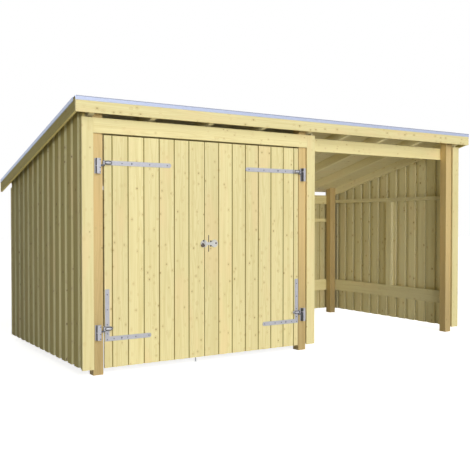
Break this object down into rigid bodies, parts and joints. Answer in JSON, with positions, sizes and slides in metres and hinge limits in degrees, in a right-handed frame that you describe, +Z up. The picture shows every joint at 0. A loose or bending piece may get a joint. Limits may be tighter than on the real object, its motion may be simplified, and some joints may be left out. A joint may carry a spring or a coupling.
{
  "type": "open-front garden shed",
  "caption": "Lean-to timber garden shed: a closed bay behind hinged double doors beside an open-front bay, clad in overlapping upright boards.",
  "frame": {"origin": "on the ground, under the middle of the roof's plan", "axes": "+X along the front to the right seen from the front, +Y from the front to the back, +Z up"},
  "size_m": [4.702, 2.34, 2.2795],
  "materials": {
    "post_timber": "planed pine, warm brown treatment",
    "frame_timber": "planed pine, green-yellow pressure treatment",
    "trim_timber": "planed pine, green-yellow pressure treatment",
    "cladding_timber": "rough-sawn pine, green-yellow pressure treatment",
    "door_timber": "planed matchboard, green-yellow pressure treatment",
    "deck_timber": "rough-sawn roof boards",
    "roof_membrane": "black rubber roofing sheet",
    "roof_edge_metal": "mill-finish roof edging",
    "galvanised_steel": "hot-dip galvanised"
  },
  "bodies": {
    "shed": {"front_left_post": "post_timber", "front_middle_post": "post_timber", "front_right_post": "post_timber", "back_left_post": "post_timber", "back_middle_post": "post_timber", "back_right_post": "post_timber", "front_beam": "frame_timber", "back_beam": "frame_timber", "door_header": "trim_timber", "front_trims": "trim_timber", "wall_rafters": "frame_timber", "closed_bay_rafters": "frame_timber", "open_bay_rafters": "frame_timber", "roof_deck": "deck_timber", "roof_covering": "roof_membrane", "front_fascia": "trim_timber", "barge_boards": "trim_timber", "roof_edges": "roof_edge_metal", "left_wall_rails": "frame_timber", "middle_wall_rails": "frame_timber", "right_wall_rails": "frame_timber", "wall_studs": "frame_timber", "left_wall_inner_boards": "cladding_timber", "left_wall_outer_boards": "cladding_timber", "middle_wall_inner_boards": "cladding_timber", "middle_wall_outer_boards": "cladding_timber", "right_wall_inner_boards": "cladding_timber", "right_wall_outer_boards": "cladding_timber", "back_wall_rails": "frame_timber", "back_wall_inner_boards": "cladding_timber", "back_wall_outer_boards": "cladding_timber", "left_door_pintles": "galvanised_steel", "right_door_pintles": "galvanised_steel"},
    "left_door": {"left_door_boards": "door_timber", "left_door_ledges": "frame_timber", "left_door_braces": "frame_timber", "left_door_hinges": "galvanised_steel", "left_door_latch": "galvanised_steel", "drop_bolt_guides": "galvanised_steel"},
    "right_door": {"right_door_boards": "door_timber", "right_door_ledges": "frame_timber", "right_door_braces": "frame_timber", "right_door_hinges": "galvanised_steel", "right_door_latch": "galvanised_steel"},
    "drop_bolt": {"drop_bolt": "galvanised_steel"}
  },
  "joints": [
    {"name": "left_door_hinge", "type": "hinge", "parent": "shed", "child": "left_door", "pos_m": [-2.079, -1.0883, 1.76], "axis": [0, 0, -1], "range_deg": [0, 110]},
    {"name": "right_door_hinge", "type": "hinge", "parent": "shed", "child": "right_door", "pos_m": [-0.049, -1.0883, 1.76], "axis": [0, 0, 1], "range_deg": [0, 110]},
    {"name": "drop_bolt_slide", "type": "slide", "parent": "left_door", "child": "drop_bolt", "axis": [0, 0, 1], "range_m": [0, 0.08]}
  ]
}
